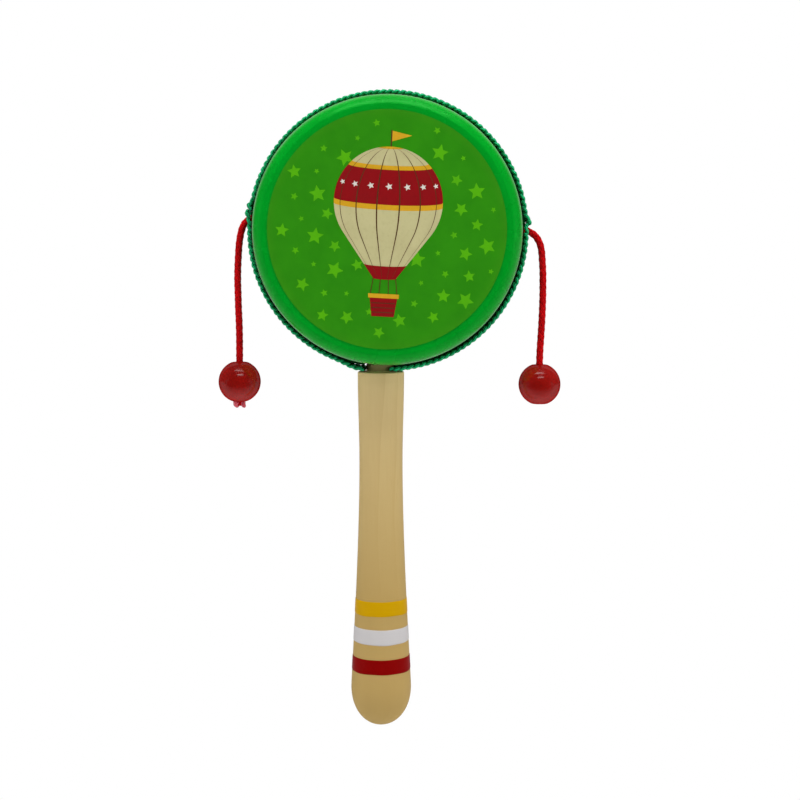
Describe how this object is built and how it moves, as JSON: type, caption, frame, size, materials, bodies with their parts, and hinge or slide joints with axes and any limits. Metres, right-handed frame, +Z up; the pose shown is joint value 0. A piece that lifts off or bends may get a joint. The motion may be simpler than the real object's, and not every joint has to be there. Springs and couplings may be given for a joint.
{
  "type": "pellet drum rattle",
  "caption": "Green hand drum rattle on a turned wooden handle, with a red bead on a cord at each side that swings to strike the heads.",
  "frame": {"origin": "on the handle's axis, half way along it, where a hand holds it", "axes": "+Z up the handle to the drum, -Y out of the front head, +X to the right seen from the front"},
  "size_m": [0.1076, 0.034, 0.1997],
  "materials": {
    "hoop_wood": "bare turned wood",
    "head_vinyl": "gloss",
    "print_film": "satin print",
    "braid_trim": "woven braid",
    "handle_wood": "sanded, clear lacquer",
    "yellow_paint": "paint",
    "white_paint": "paint",
    "red_paint": "paint",
    "red_cord": "braided cord",
    "bead_lacquer": "lacquer"
  },
  "bodies": {
    "root": {"hoop": "hoop_wood", "front_head": "head_vinyl", "back_head": "head_vinyl", "front_print": "print_film", "back_print": "print_film", "trim_top": "braid_trim", "trim_lower_left": "braid_trim", "trim_lower_right": "braid_trim", "handle": "handle_wood", "yellow_band": "yellow_paint", "white_band": "white_paint", "red_band": "red_paint"},
    "left_strand": {"left_anchor_knot": "red_cord", "left_cord_upper": "red_cord"},
    "left_drop": {"left_cord_lower": "red_cord"},
    "left_bead": {"left_bead": "bead_lacquer"},
    "right_strand": {"right_anchor_knot": "red_cord", "right_cord_upper": "red_cord"},
    "right_drop": {"right_cord_lower": "red_cord"},
    "right_bead": {"right_bead": "bead_lacquer"}
  },
  "joints": [
    {"name": "left_swing", "type": "hinge", "parent": "root", "child": "left_strand", "pos_m": [-0.03889, 0, 0.10465], "axis": [-0.9986, 0, 0.0523], "range_deg": [-74, 74]},
    {"name": "left_wrap", "type": "hinge", "parent": "left_strand", "child": "left_drop", "pos_m": [-0.04499, 0, 0.08465], "axis": [0.7071, 0, -0.7071], "range_deg": [-148, 148]},
    {"name": "left_bead_spin", "type": "hinge", "parent": "left_drop", "child": "left_bead", "pos_m": [-0.04449, 0, 0.05305], "axis": [0, 0, 1], "continuous": true},
    {"name": "right_swing", "type": "hinge", "parent": "root", "child": "right_strand", "pos_m": [0.04384, 0, 0.10102], "axis": [0.9986, 0, -0.0523], "range_deg": [-78, 78]},
    {"name": "right_wrap", "type": "hinge", "parent": "right_strand", "child": "right_drop", "pos_m": [0.05094, 0, 0.08102], "axis": [-0.7071, 0, -0.7071], "range_deg": [-156, 156]},
    {"name": "right_bead_spin", "type": "hinge", "parent": "right_drop", "child": "right_bead", "pos_m": [0.04994, 0, 0.05222], "axis": [0, 0, 1], "continuous": true}
  ],
  "couplings": [
    {"joint": "left_wrap", "follows": "left_swing", "ratio": -2},
    {"joint": "right_wrap", "follows": "right_swing", "ratio": -2}
  ]
}
